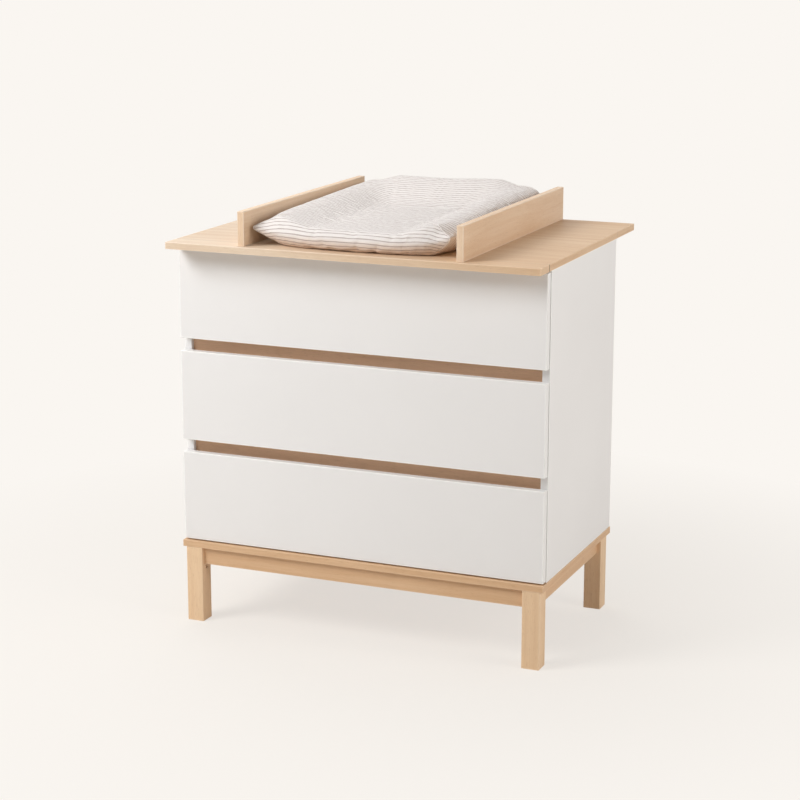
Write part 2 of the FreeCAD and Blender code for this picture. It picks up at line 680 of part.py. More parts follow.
def make_pad():
    half = pad_width / 2
    foot_half = half - pad_foot_inset
    # stations along the pad: close together where the two ends round over, wider in between
    turns = [math.radians(90 * i / pad_end_steps) for i in range(pad_end_steps + 1)]
    front_end = [pad_end_round * (1 - math.cos(t)) for t in turns]
    span = pad_length - 2 * pad_end_round
    middle = [pad_end_round + span * i / pad_mid_steps for i in range(1, pad_mid_steps)]
    rear_end = [pad_length - y for y in reversed(front_end)]
    wires = []
    for y in front_end + middle + rear_end:
        along = y / pad_length
        from_end = min(y, pad_length - y)
        swell = math.sqrt(max(0.0, 1 - (1 - min(from_end / pad_end_round, 1.0)) ** 2))
        rim = pad_rim_front + (pad_rim_rear - pad_rim_front) * math.sin(math.pi / 2 * along)
        rise = smooth((along - pad_bowl_end) / (1 - pad_bowl_end) * pad_bowl_climb)
        bowl = pad_bowl + (rim + pad_rear_crown - pad_bowl) * rise
        draw = pad_side_draw * math.sqrt(max(0.0, math.sin(math.pi * along)))
        tip = 1 - swell
        corner = pad_front_corner if along < 1 / 2 else pad_rear_corner
        wires.append(pad_section(pad_front_y + y, half - draw - corner * tip,
                                 rim - pad_end_drop * tip, bowl - pad_end_drop * tip * bowl / rim,
                                 pad_end_lift * tip - pad_sink * swell,
                                 foot_half - draw - pad_end_foot_inset * tip,
                                 pad_rim_radius * (1 - tip * pad_end_sharpness)))
    loft = Part.makeLoft(wires, True, True)
    loft.translate(Z * top_z)
    keep = block(-half, half, pad_front_y, pad_front_y + pad_length, top_z,
                 top_z + pad_rim_rear + pad_rear_crown)
    parts["changing_pad"] = loft.common(keep)


def main():
    os.makedirs("parts", exist_ok=True)
    make_legs()
    make_aprons()
    make_carcass()
    make_changing_frame()
    make_corner_hardware()
    for level, name in enumerate(drawer_names):
        make_drawer(name, level)
    make_bumpers()
    join_carcass()
    join_changing_frame()
    make_pad()
    parts["long_screws"] = group(long_screws)
    parts["short_screws"] = group(short_screws)
    parts["cam_locks"] = group(cam_locks)
    parts["cam_pins"] = group(cam_pins)
    parts["wood_dowels"] = group(wood_dowels)
    for name, shape in sorted(parts.items()):
        if not shape.isValid():
            print("not valid:", name)
        shape.exportStep("parts/%s.step" % name)
    box = Part.makeCompound(list(parts.values())).BoundBox
    print("%d nodes, %.1f x %.1f x %.1f mm" % (len(parts), box.XLength, box.YLength, box.ZLength))


main()
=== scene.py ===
import math
import bmesh
import bpy
import numpy as np
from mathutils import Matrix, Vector
from mathutils.bvhtree import BVHTree
from mathutils.interpolate import poly_3d_calc


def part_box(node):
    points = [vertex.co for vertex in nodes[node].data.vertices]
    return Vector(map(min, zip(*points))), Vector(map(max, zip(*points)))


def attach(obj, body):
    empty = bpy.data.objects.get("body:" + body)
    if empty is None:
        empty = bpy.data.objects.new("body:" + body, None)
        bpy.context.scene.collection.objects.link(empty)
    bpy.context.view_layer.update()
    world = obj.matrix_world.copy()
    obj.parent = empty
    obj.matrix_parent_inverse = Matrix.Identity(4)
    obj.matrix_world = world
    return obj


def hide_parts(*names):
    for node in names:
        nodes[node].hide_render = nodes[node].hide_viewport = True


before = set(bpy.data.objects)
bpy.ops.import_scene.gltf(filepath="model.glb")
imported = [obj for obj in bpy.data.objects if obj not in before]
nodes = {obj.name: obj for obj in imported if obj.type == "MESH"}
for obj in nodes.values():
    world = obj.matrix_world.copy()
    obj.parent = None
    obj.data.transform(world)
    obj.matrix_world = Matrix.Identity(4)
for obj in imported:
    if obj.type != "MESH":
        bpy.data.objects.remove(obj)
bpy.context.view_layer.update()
scene = bpy.context.scene
print("frame loaded:", len(nodes), "nodes")


def tint(red, green, blue):
    # a colour as it looks on screen, 0 to 255, turned into the linear one that shaders use
    share = [c / 255 for c in (red, green, blue)]
    linear = [c / 12.92 if c <= 0.04045 else ((c + 0.055) / 1.055) ** 2.4 for c in share]
    return (*linear, 1.0)


def addNode(tree, kind, inputs=None, **settings):
    # one node with its settings, and each input given as a value or as the socket that feeds it
    node = tree.nodes.new(kind)
    for name, value in settings.items():
        setattr(node, name, value)
    for name, value in (inputs or {}).items():
        if isinstance(value, bpy.types.NodeSocket):
            tree.links.new(value, node.inputs[name])
        else:
            node.inputs[name].default_value = value
    return node


def math2(tree, operation, a, b=0.0, clamp=False):
    node = addNode(tree, "ShaderNodeMath", {0: a, 1: b}, operation=operation, use_clamp=clamp)
    return node.outputs[0]


def vector2(tree, operation, a, b):
    return addNode(tree, "ShaderNodeVectorMath", {0: a, 1: b}, operation=operation).outputs[0]


def axesOf(tree, vector):
    # the X, Y and Z parts of a vector
    return addNode(tree, "ShaderNodeSeparateXYZ", {0: vector}).outputs


def mixColour(tree, factor, a, b, blend="MIX"):
    # inputs 0, 6 and 7 are the factor and the two colours of a colour Mix node
    inputs = {0: factor, 6: a, 7: b}
    node = addNode(tree, "ShaderNodeMix", inputs, data_type="RGBA", blend_type=blend)
    return node.outputs[2]


def remap(tree, value, fromLow, fromHigh, toLow, toHigh):
    inputs = {"Value": value, "From Min": fromLow, "From Max": fromHigh,
              "To Min": toLow, "To Max": toHigh}
    return addNode(tree, "ShaderNodeMapRange", inputs).outputs[0]


noiseSpan = (0.3, 0.7)  # where most of a noise texture's values lie


def noiseValue(tree, vector, scale, detail=2.0, roughness=0.5):
    inputs = {"Vector": vector, "Scale": scale, "Detail": detail, "Roughness": roughness}
    return addNode(tree, "ShaderNodeTexNoise", inputs).outputs[0]


def objectPlace(tree):
    return addNode(tree, "ShaderNodeTexCoord").outputs["Object"]


def newGroup(name, inputs, outputs):
    # a shader node group with named sockets: each entry is (name, socket type, default or None)
    tree = bpy.data.node_groups.new(name, "ShaderNodeTree")
    for inOut, entries in (("INPUT", inputs), ("OUTPUT", outputs)):
        for title, kind, value in entries:
            socket = tree.interface.new_socket(title, in_out=inOut, socket_type="NodeSocket" + kind)
            if value is not None:
                socket.default_value = value
    return tree, tree.nodes.new("NodeGroupInput"), tree.nodes.new("NodeGroupOutput")


def placeGroup(tree, group, inputs):
    return addNode(tree, "ShaderNodeGroup", inputs, node_tree=group)


def newMaterial(name, **constants):
    # a Principled material; constants go on the shader's own sockets
    material = bpy.data.materials.new(name)
    material.use_nodes = True
    tree = material.node_tree
    shader = tree.nodes["Principled BSDF"]
    for title, value in constants.items():
        shader.inputs[title.replace("_", " ")].default_value = value
    return material, tree, shader


# camera: the photograph's own viewpoint, for a square picture
cameraSet = {
    "place": (1.8796, -4.4910, 1.6897),
    "tiltDown": 13.534,
    "turnLeft": 22.879,
    "roll": -0.022,
    "lens": 94.466,
    "sensor": 36.0,
    "farEnd": 200.0,
}


def makeCamera():
    data = bpy.data.cameras.new("viewCamera")
    data.lens = cameraSet["lens"]
    data.sensor_width = cameraSet["sensor"]
    data.clip_end = cameraSet["farEnd"]
    camera = bpy.data.objects.new("viewCamera", data)
    scene.collection.objects.link(camera)
    camera.location = cameraSet["place"]
    angles = (90.0 - cameraSet["tiltDown"], cameraSet["roll"], cameraSet["turnLeft"])
    camera.rotation_euler = [math.radians(a) for a in angles]
    scene.camera = camera


makeCamera()
scene.view_settings.view_transform = "Standard"
print("camera made")


# studio: a pale floor and surround, one large soft lamp from the left front, weaker ones around it
studio = {
    "background": tint(250, 246, 241),
    "floorColour": tint(232, 226, 218),
    "floorHalf": 60.0,
    "floorShadowShare": 0.3,
    "shadowNear": 0.5,
    "shadowFar": 1.6,
    "fillColour": tint(252, 247, 241),
    "fillStrength": 0.22,
    "lamps": {
        "keyLamp": {"from": (-2.2, -2.4, 2.95), "size": 2.0, "watts": 120.0,
                    "colour": (0.99, 0.998, 1.0)},
        "rightLamp": {"from": (3.6, -0.6, 1.6), "size": 2.4, "watts": 56.0,
                      "colour": (1.0, 0.98, 0.96)},
        "topLamp": {"from": (-1.3, 1.3, 3.5), "size": 2.4, "watts": 40.0,
                    "colour": (1.0, 0.99, 0.98)},
    },
    "aim": (0.0, 0.0, 0.55),
}


def seenDirectly(tree):
    # 1 for camera, mirror and glass rays, which see the plain background
    path = addNode(tree, "ShaderNodeLightPath")
    both = math2(tree, "MAXIMUM", path.outputs["Is Camera Ray"], path.outputs["Is Glossy Ray"])
    return math2(tree, "MAXIMUM", both, path.outputs["Is Transmission Ray"])


def makeWorld():
    world = bpy.data.worlds.new("studioWorld")
    world.use_nodes = True
    scene.world = world
    tree = world.node_tree
    tree.nodes.clear()
    fill = addNode(tree, "ShaderNodeBackground",
                   {"Color": studio["fillColour"], "Strength": studio["fillStrength"]})
    seen = addNode(tree, "ShaderNodeBackground", {"Color": studio["background"], "Strength": 1.0})
    mix = addNode(tree, "ShaderNodeMixShader",
                  {0: seenDirectly(tree), 1: fill.outputs[0], 2: seen.outputs[0]})
    addNode(tree, "ShaderNodeOutputWorld", {"Surface": mix.outputs[0]})


def makeFloor():
    half = studio["floorHalf"]
    mesh = bpy.data.meshes.new("studioFloor")
    mesh.from_pydata([(-half, -half, 0), (half, -half, 0), (half, half, 0), (-half, half, 0)],
                     [], [(0, 1, 2, 3)])
    floor = bpy.data.objects.new("studioFloor", mesh)
    scene.collection.objects.link(floor)
    material = bpy.data.materials.new("floorPaper")
    material.use_nodes = True
    tree = material.node_tree
    tree.nodes.clear()
    paper = addNode(tree, "ShaderNodeBsdfDiffuse", {"Color": studio["floorColour"]})
    glow = addNode(tree, "ShaderNodeEmission", {"Color": studio["background"], "Strength": 1.0})
    # the shadow only counts near the object, so further out the floor is as even as the surround
    distance = addNode(tree, "ShaderNodeVectorMath", {0: objectPlace(tree)},
                       operation="LENGTH").outputs["Value"]
    glowShare = remap(tree, distance, studio["shadowNear"], studio["shadowFar"],
                      1.0 - studio["floorShadowShare"], 1.0)
    share = math2(tree, "MULTIPLY", seenDirectly(tree), glowShare)
    mix = addNode(tree, "ShaderNodeMixShader", {0: share, 1: paper.outputs[0], 2: glow.outputs[0]})
    addNode(tree, "ShaderNodeOutputMaterial", {"Surface": mix.outputs[0]})
    mesh.materials.append(material)


def makeLamps():
    for name, lamp in studio["lamps"].items():
        data = bpy.data.lights.new(name, "AREA")
        data.shape = "DISK"
        data.size = lamp["size"]
        data.energy = lamp["watts"]
        data.color = lamp["colour"]
        light = bpy.data.objects.new(name, data)
        scene.collection.objects.link(light)
        light.location = lamp["from"]
        aim = Vector(studio["aim"]) - Vector(lamp["from"])
        light.rotation_euler = aim.to_track_quat("-Z", "Y").to_euler()


makeWorld()
makeFloor()
makeLamps()
print("studio made")


# shared effects
grainSet = {
    "driftScale": 2.3, "bendY": 0.05, "bendZ": 0.03,
    "bandStretch": 0.018, "bandDetail": 3.0, "bandRoughness": 0.55,
    "bandFrom": 0.32, "bandTo": 0.68,
    "fibreStretch": (9.0, 620.0), "fibreDepth": -0.4,
    "poreStretch": (55.0, 1250.0), "poreFrom": 0.68, "poreTo": 0.78,
    "broadScale": 4.0, "broadAmount": 0.5,
    "roughLow": 0.46, "roughHigh": 0.56,
    "endFacing": 0.6,  # how squarely a face looks along the board before it counts as an end
    "boardStep": (0.37, 0.61, 0.23),  # how far the pattern moves on from board to board
}


def makeGrainGroup():
    # wood grain that runs along X: fine fibres, wider growth bands and short dark pores
    g = grainSet
    inputs = [("Vector", "Vector", None), ("Light", "Color", (0.8, 0.6, 0.45, 1)),
              ("Dark", "Color", (0.7, 0.5, 0.35, 1)), ("Pore", "Color", (0.5, 0.33, 0.2, 1)),
              ("Band Scale", "Float", 60.0), ("Band Amount", "Float", 0.6),
              ("Fibre Amount", "Float", 0.4), ("Pore Amount", "Float", 0.3)]
    outputs = [("Color", "Color", None), ("Height", "Float", None), ("Roughness", "Float", None)]
    tree, source, sink = newGroup("woodGrain", inputs, outputs)
    point = source.outputs["Vector"]
    # boards bend their growth lines a little, so the pattern is shifted across the grain
    drift = noiseValue(tree, point, g["driftScale"], 1.0)
    bend = addNode(tree, "ShaderNodeCombineXYZ", {"Y": math2(tree, "MULTIPLY", drift, g["bendY"]),
                                                  "Z": math2(tree, "MULTIPLY", drift, g["bendZ"])})
    moved = vector2(tree, "ADD", point, bend.outputs[0])
    stretches = ((g["bandStretch"], 1.0), g["fibreStretch"], g["poreStretch"])
    bandPoint, fibrePoint, porePoint = [
        vector2(tree, "MULTIPLY", moved, (along, across, across)) for along, across in stretches]
    band = noiseValue(tree, bandPoint, source.outputs["Band Scale"],
                      g["bandDetail"], g["bandRoughness"])
    bandShare = remap(tree, band, g["bandFrom"], g["bandTo"], 0.0, 1.0)
    fibre = noiseValue(tree, fibrePoint, 1.0, 2.0)
    fibreShare = remap(tree, fibre, *noiseSpan, 0.0, 1.0)
    pore = noiseValue(tree, porePoint, 1.0, 0.0)
    poreShare = remap(tree, pore, g["poreFrom"], g["poreTo"], 0.0, 1.0)
    broad = noiseValue(tree, point, g["broadScale"], 2.0)
    bandPart = math2(tree, "MULTIPLY", bandShare, source.outputs["Band Amount"])
    fibrePart = math2(tree, "MULTIPLY", fibreShare, source.outputs["Fibre Amount"])
    broadPart = math2(tree, "MULTIPLY", math2(tree, "SUBTRACT", broad, 0.5), g["broadAmount"])
    total = math2(tree, "ADD", math2(tree, "ADD", bandPart, fibrePart), broadPart, clamp=True)
    wood = mixColour(tree, total, source.outputs["Light"], source.outputs["Dark"])
    poreMask = math2(tree, "MULTIPLY", poreShare, source.outputs["Pore Amount"])
    colour = mixColour(tree, poreMask, wood, source.outputs["Pore"])
    height = math2(tree, "SUBTRACT", math2(tree, "MULTIPLY", fibreShare, g["fibreDepth"]), poreMask)
    rough = remap(tree, total, 0.0, 1.0, g["roughLow"], g["roughHigh"])
    tree.links.new(colour, sink.inputs["Color"])
    tree.links.new(height, sink.inputs["Height"])
    tree.links.new(rough, sink.inputs["Roughness"])
    return tree


def makeEdgeGroup():
    # 1 near the edges of a box from Low to High, fading to 0 over Width
    inputs = [("Vector", "Vector", None), ("Low", "Vector", None), ("High", "Vector", None),
              ("Width", "Float", 0.002)]
    tree, source, sink = newGroup("boxEdge", inputs, [("Mask", "Float", None)])
    toLow = vector2(tree, "SUBTRACT", source.outputs["Vector"], source.outputs["Low"])
    toHigh = vector2(tree, "SUBTRACT", source.outputs["High"], source.outputs["Vector"])
    x, y, z = axesOf(tree, vector2(tree, "MINIMUM", toLow, toHigh))
    # the middle one of the three distances is the distance to the nearest edge
    inner = math2(tree, "MAXIMUM", math2(tree, "MINIMUM", x, y),
                  math2(tree, "MINIMUM", math2(tree, "MAXIMUM", x, y), z))
    share = math2(tree, "DIVIDE", inner, source.outputs["Width"])
    tree.links.new(math2(tree, "SUBTRACT", 1.0, share, clamp=True), sink.inputs["Mask"])
    return tree


def makePeelGroup():
    # the faint orange peel and cloudiness of a sprayed or foiled surface
    inputs = [("Vector", "Vector", None), ("Scale", "Float", 420.0)]
    outputs = [("Height", "Float", None), ("Cloud", "Float", None)]
    tree, source, sink = newGroup("surfacePeel", inputs, outputs)
    cloudScale = 3.5
    fine = noiseValue(tree, source.outputs["Vector"], source.outputs["Scale"], 1.0)
    cloud = noiseValue(tree, source.outputs["Vector"], cloudScale, 3.0)
    tree.links.new(fine, sink.inputs["Height"])
    tree.links.new(cloud, sink.inputs["Cloud"])
    return tree


def makeRollGroup():
    # rolled and plated steel: fine lines along X and soft grey patches
    inputs = [("Vector", "Vector", None), ("Line Scale", "Float", 900.0)]
    outputs = [("Line", "Float", None), ("Patch", "Float", None)]
    tree, source, sink = newGroup("rolledSteel", inputs, outputs)
    lineStretch, patchScale = 0.02, 95.0
    drawnOut = vector2(tree, "MULTIPLY", source.outputs["Vector"], (lineStretch, 1.0, 1.0))
    line = noiseValue(tree, drawnOut, source.outputs["Line Scale"], 2.0)
    cells = addNode(tree, "ShaderNodeTexVoronoi",
                    {"Vector": source.outputs["Vector"], "Scale": patchScale})
    patch = addNode(tree, "ShaderNodeSeparateColor", {0: cells.outputs["Color"]})
    tree.links.new(line, sink.inputs["Line"])
    tree.links.new(patch.outputs[0], sink.inputs["Patch"])
    return tree


grainGroup = makeGrainGroup()
edgeGroup = makeEdgeGroup()
peelGroup = makePeelGroup()
rollGroup = makeRollGroup()
print("shared effects made")


def dress(tree, shader, look, colour, height, rough=None):
    # the sockets that change over a surface: its colour, its bumps and mostly its roughness
    bump = addNode(tree, "ShaderNodeBump", {"Height": height, "Strength": look["bumpStrength"],
                                            "Distance": look["bumpDistance"]})
    tree.links.new(colour, shader.inputs["Base Color"])
    tree.links.new(bump.outputs[0], shader.inputs["Normal"])
    if rough:
        tree.links.new(rough, shader.inputs["Roughness"])


def cloudy(tree, cloud, look):
    # roughness that follows a cloud or line pattern between the look's two values
    return remap(tree, cloud, *noiseSpan, look["roughLow"], look["roughHigh"])


def objectPoint(tree, turn=(0, 0, 0), shift=(0, 0, 0)):
    # the object's own coordinates, turned by degrees and moved
    angles = [math.radians(a) for a in turn]
    inputs = {"Vector": objectPlace(tree), "Rotation": angles, "Location": shift}
    return addNode(tree, "ShaderNodeMapping", inputs).outputs[0]


def edgeMask(tree, nodeName, width):
    low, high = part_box(nodeName)
    inputs = {"Vector": objectPlace(tree), "Low": low, "High": high, "Width": width}
    return placeGroup(tree, edgeGroup, inputs).outputs["Mask"]


def finishNode(nodeName, material):
    mesh = nodes[nodeName].data
    mesh.materials.clear()
    mesh.materials.append(material)


# turns that bring a board's grain from each axis onto the grain group's X
grainTurn = {"x": (0, 0, 0), "y": (0, 0, -90), "z": (0, 90, 0)}
axisIndex = {"x": 0, "y": 1, "z": 2}

oakLook = {
    "light": tint(232, 213, 190), "dark": tint(213, 185, 157), "pore": tint(182, 146, 116),
    "bandScale": 52.0, "bandAmount": 0.6, "fibreAmount": 0.3, "poreAmount": 0.3,
    # painted highlight along the board edges
    "edgeHighlightColour": tint(249, 231, 213), "edgeHighlightWidth": 0.0026, "edgeHighlightAmount": 0.8,
    "bumpStrength": 0.25, "bumpDistance": 0.0003,
    # painted shade towards the right ends of the oak boards
    "rightShadeTint": tint(249, 236, 220), "rightShadeFrom": -0.25, "rightShadeTo": 0.45,
}
beechLook = {
    "light": tint(238, 208, 173), "dark": tint(224, 188, 150), "pore": tint(188, 146, 110),
    "bandScale": 70.0, "bandAmount": 0.5, "fibreAmount": 0.3, "poreAmount": 0.4,
    # painted highlight along the board edges
    "edgeHighlightColour": tint(240, 214, 184), "edgeHighlightWidth": 0.003, "edgeHighlightAmount": 0.5,
    "bumpStrength": 0.25, "bumpDistance": 0.0003,
}
# the two uprights are a little browner than the top
uprightLook = {**oakLook, "light": tint(238, 212, 184), "dark": tint(222, 187, 152)}
# the aprons and the bottom board are a shade darker than the legs, the grip rails a shade redder
apronLook = {**beechLook, "light": tint(223, 187, 150), "dark": tint(206, 165, 125),
             "edgeHighlightAmount": 0.35}
railLook = {**beechLook, "light": tint(244, 204, 171), "dark": tint(225, 180, 144),
            "edgeHighlightAmount": 0.2}
# which way the grain runs on each board, and on its two end faces
oakBoards = {"dresser_top": ("x", "y"), "front_ledge": ("x", "y"), "rear_ledge": ("x", "y")}
uprightBoards = {"upright_left": ("y", "z"), "upright_right": ("y", "z")}
railBoards = {"grip_rail_lower": ("x", "y"), "grip_rail_upper": ("x", "y")}
apronBoards = {
    "bottom_board": ("x", "y"), "apron_front": ("x", "y"), "apron_rear": ("x", "y"),
    "apron_left": ("y", "x"), "apron_right": ("y", "x"),
}
legBoards = {
    "leg_front_left": ("z", "x"), "leg_front_right": ("z", "x"),
    "leg_rear_left": ("z", "x"), "leg_rear_right": ("z", "x"),
}


# the hairline joints between the dresser top and its ledges, plainest in the right hand edge
jointLook = {
    "colour": tint(70, 48, 34), "halfWidth": 0.0016, "softness": 0.3,
    "frontAmount": 0.95, "rearAmount": 0.25, "shareOnTop": 0.3,
}


def jointMask(tree, onEnd):
    look = jointLook
    low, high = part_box("dresser_top")
    depth = axesOf(tree, objectPlace(tree))[1]
    inner, outer = [look["halfWidth"] * (1 + side * look["softness"]) for side in (-1, 1)]
    masks = []
    for joint, amount in ((low.y, look["frontAmount"]), (high.y, look["rearAmount"])):
        off = math2(tree, "ABSOLUTE", math2(tree, "SUBTRACT", depth, joint))
        masks.append(remap(tree, off, inner, outer, amount, 0.0))
    share = remap(tree, onEnd, 0.0, 1.0, look["shareOnTop"], 1.0)
    return math2(tree, "MULTIPLY", math2(tree, "MAXIMUM", *masks), share)


def placeGrain(tree, vector, look):
    return placeGroup(tree, grainGroup, {
        "Vector": vector, "Light": look["light"], "Dark": look["dark"], "Pore": look["pore"],
        "Band Scale": look["bandScale"], "Band Amount": look["bandAmount"],
        "Fibre Amount": look["fibreAmount"], "Pore Amount": look["poreAmount"]})


def woodMaterial(nodeName, look, along, ends, order):
    material, tree, shader = newMaterial("wood_" + nodeName, Specular_IOR_Level=0.35)
    shift = [step * order for step in grainSet["boardStep"]]
    face = objectPoint(tree, grainTurn[along], shift)
    end = objectPoint(tree, grainTurn[ends], shift)
    normal = axesOf(tree, addNode(tree, "ShaderNodeNewGeometry").outputs["Normal"])
    facing = math2(tree, "ABSOLUTE", normal[axisIndex[along]])
    onEnd = math2(tree, "GREATER_THAN", facing, grainSet["endFacing"])
    # inputs 4 and 5 are the two vectors of a vector Mix node
    point = addNode(tree, "ShaderNodeMix", {0: onEnd, 4: face, 5: end}, data_type="VECTOR")
    grain = placeGrain(tree, point.outputs[1], look)
    # painted highlight: the edges are lightened, as if light caught on their rounding
    highlightShare = math2(tree, "MULTIPLY", edgeMask(tree, nodeName, look["edgeHighlightWidth"]), look["edgeHighlightAmount"])
    colour = mixColour(tree, highlightShare, grain.outputs["Color"], look["edgeHighlightColour"])
    if nodeName in oakBoards:
        # painted shade: these boards are a little browner and darker towards the right end
        width = axesOf(tree, objectPlace(tree))[0]
        rightShade = remap(tree, width, look["rightShadeFrom"], look["rightShadeTo"], 0.0, 1.0)
        colour = mixColour(tree, rightShade, colour, look["rightShadeTint"], "MULTIPLY")
        colour = mixColour(tree, jointMask(tree, onEnd), colour, jointLook["colour"])
    dress(tree, shader, look, colour, grain.outputs["Height"], grain.outputs["Roughness"])
    return material


woods = ((oakLook, oakBoards), (uprightLook, uprightBoards), (railLook, railBoards),
         (apronLook, apronBoards), (beechLook, legBoards))
allBoards = [(look, board) for look, boards in woods for board in boards.items()]
for order, (look, (nodeName, (along, ends))) in enumerate(allBoards, start=1):
    finishNode(nodeName, woodMaterial(nodeName, look, along, ends, order))
print("wood finished")


# white lacquer on the fronts, the sides and the rear rail
lacquerLook = {
    "colour": tint(240, 239, 239), "cloudColour": tint(236, 235, 235),
    # painted highlight along the edges of the fronts and panels
    "edgeHighlightColour": tint(250, 250, 249), "edgeHighlightWidth": 0.0040, "edgeHighlightAmount": 0.9,
    "roughLow": 0.33, "roughHigh": 0.42,
    "peelScale": 380.0, "bumpStrength": 0.08, "bumpDistance": 0.0004,
}


def lacquerMaterial(nodeName):
    look = lacquerLook
    material, tree, shader = newMaterial("lacquer_" + nodeName, Specular_IOR_Level=0.45)
    peel = placeGroup(tree, peelGroup, {"Vector": objectPoint(tree), "Scale": look["peelScale"]})
    base = mixColour(tree, peel.outputs["Cloud"], look["colour"], look["cloudColour"])
    # painted highlight: the edges are lightened, as if light caught on their rounding
    highlightShare = math2(tree, "MULTIPLY", edgeMask(tree, nodeName, look["edgeHighlightWidth"]), look["edgeHighlightAmount"])
    colour = mixColour(tree, highlightShare, base, look["edgeHighlightColour"])
    rough = cloudy(tree, peel.outputs["Cloud"], look)
    dress(tree, shader, look, colour, peel.outputs["Height"], rough)
    return material


levels = ("lower", "middle", "upper")
fronts = [level + "_drawer_front" for level in levels]
for nodeName in (*fronts, "side_panel_left", "side_panel_right", "rear_rail"):
    finishNode(nodeName, lacquerMaterial(nodeName))
print("lacquer finished")


# a pale foil with a faint woven print, on the drawer boxes and, duller, on the back
drawerFoilLook = {
    "colour": tint(228, 222, 214), "thread": tint(212, 204, 194), "threadAmount": 0.35,
    "threadScale": 190.0, "threadBend": 1.5, "roughLow": 0.45, "roughHigh": 0.56,
    "peelScale": 900.0, "bumpStrength": 0.12, "bumpDistance": 0.0003,
}
backFoilLook = {**drawerFoilLook, "colour": tint(225, 221, 215), "thread": tint(214, 208, 200),
                "roughLow": 0.57, "roughHigh": 0.68}


def foilMaterial(name, look):
    material, tree, shader = newMaterial(name, Specular_IOR_Level=0.3)
    point = objectPoint(tree)
    peel = placeGroup(tree, peelGroup, {"Vector": point, "Scale": look["peelScale"]})
    inputs = {"Vector": point, "Scale": look["threadScale"], "Distortion": look["threadBend"],
              "Detail": 1.0, "Detail Scale": 1.0}
    lines = addNode(tree, "ShaderNodeTexWave", inputs, bands_direction="Z")
    share = math2(tree, "MULTIPLY", lines.outputs["Fac"], look["threadAmount"])
    colour = mixColour(tree, share, look["colour"], look["thread"])
    rough = cloudy(tree, peel.outputs["Cloud"], look)
    dress(tree, shader, look, colour, peel.outputs["Height"], rough)
    return material


drawerFoil = foilMaterial("drawerFoil", drawerFoilLook)
for level in levels:
    for part in ("left_side", "right_side", "back", "base"):
        finishNode(level + "_drawer_" + part, drawerFoil)
finishNode("back_panel", foilMaterial("backFoil", backFoilLook))


# rolled zinc steel on slides, plates and brackets, its lines along Y; screws and cams are smoother
zincLook = {
    "light": tint(205, 207, 210), "dark": tint(168, 171, 176), "patchAmount": 0.25,
    "linesAlong": "y", "lineScale": 900.0, "roughLow": 0.27, "roughHigh": 0.42,
    "bumpStrength": 0.12, "bumpDistance": 0.0001,
}
fastenerLook = {**zincLook, "light": tint(196, 197, 198), "dark": tint(150, 152, 155),
                "linesAlong": "x", "roughLow": 0.23, "roughHigh": 0.38}


def steelMaterial(name, look):
    material, tree, shader = newMaterial(name, Metallic=1.0)
    point = objectPoint(tree, grainTurn[look["linesAlong"]])
    roll = placeGroup(tree, rollGroup, {"Vector": point, "Line Scale": look["lineScale"]})
    share = math2(tree, "MULTIPLY", roll.outputs["Patch"], look["patchAmount"])
    colour = mixColour(tree, share, look["light"], look["dark"])
    line = roll.outputs["Line"]
    dress(tree, shader, look, colour, line, cloudy(tree, line, look))
    return material


zincSteel = steelMaterial("zincSteel", zincLook)
fastenerSteel = steelMaterial("fastenerSteel", fastenerLook)
for level in levels:
    for part in ("cabinet_slides", "drawer_slides", "slide_carriages"):
        finishNode(level + "_" + part, zincSteel)
    finishNode(level + "_drawer_fittings", fastenerSteel)
for nodeName in ("corner_plates", "frame_brackets", "wall_bracket"):
    finishNode(nodeName, zincSteel)
for nodeName in ("long_screws", "short_screws", "hanger_bolts", "hanger_nuts",
                 "cam_locks", "cam_pins"):
    finishNode(nodeName, fastenerSteel)


# dowels have the legs' wood with a finer grain; the bumpers are milky rubber
dowelLook = {**beechLook, "bandScale": 220.0, "fibreAmount": 0.4, "poreAmount": 0.5,
             "bumpStrength": 0.3}
bumperLook = {
    "colour": tint(214, 214, 212), "cloudColour": tint(196, 196, 195), "roughLow": 0.45,
    "roughHigh": 0.6, "peelScale": 1400.0, "bumpStrength": 0.2, "bumpDistance": 0.0002,
}


def dowelMaterial():
    material, tree, shader = newMaterial("dowelBeech", Specular_IOR_Level=0.3)
    colour, height, rough = placeGrain(tree, objectPoint(tree), dowelLook).outputs
    dress(tree, shader, dowelLook, colour, height, rough)
    return material


def bumperMaterial():
    look = bumperLook
    material, tree, shader = newMaterial("bumperRubber", Specular_IOR_Level=0.4)
    peel = placeGroup(tree, peelGroup, {"Vector": objectPoint(tree), "Scale": look["peelScale"]})
    height, cloud = peel.outputs
    colour = mixColour(tree, cloud, look["colour"], look["cloudColour"])
    dress(tree, shader, look, colour, height, cloudy(tree, cloud, look))
    return material


finishNode("wood_dowels", dowelMaterial())
finishNode("drawer_bumpers", bumperMaterial())
print("inner parts finished")


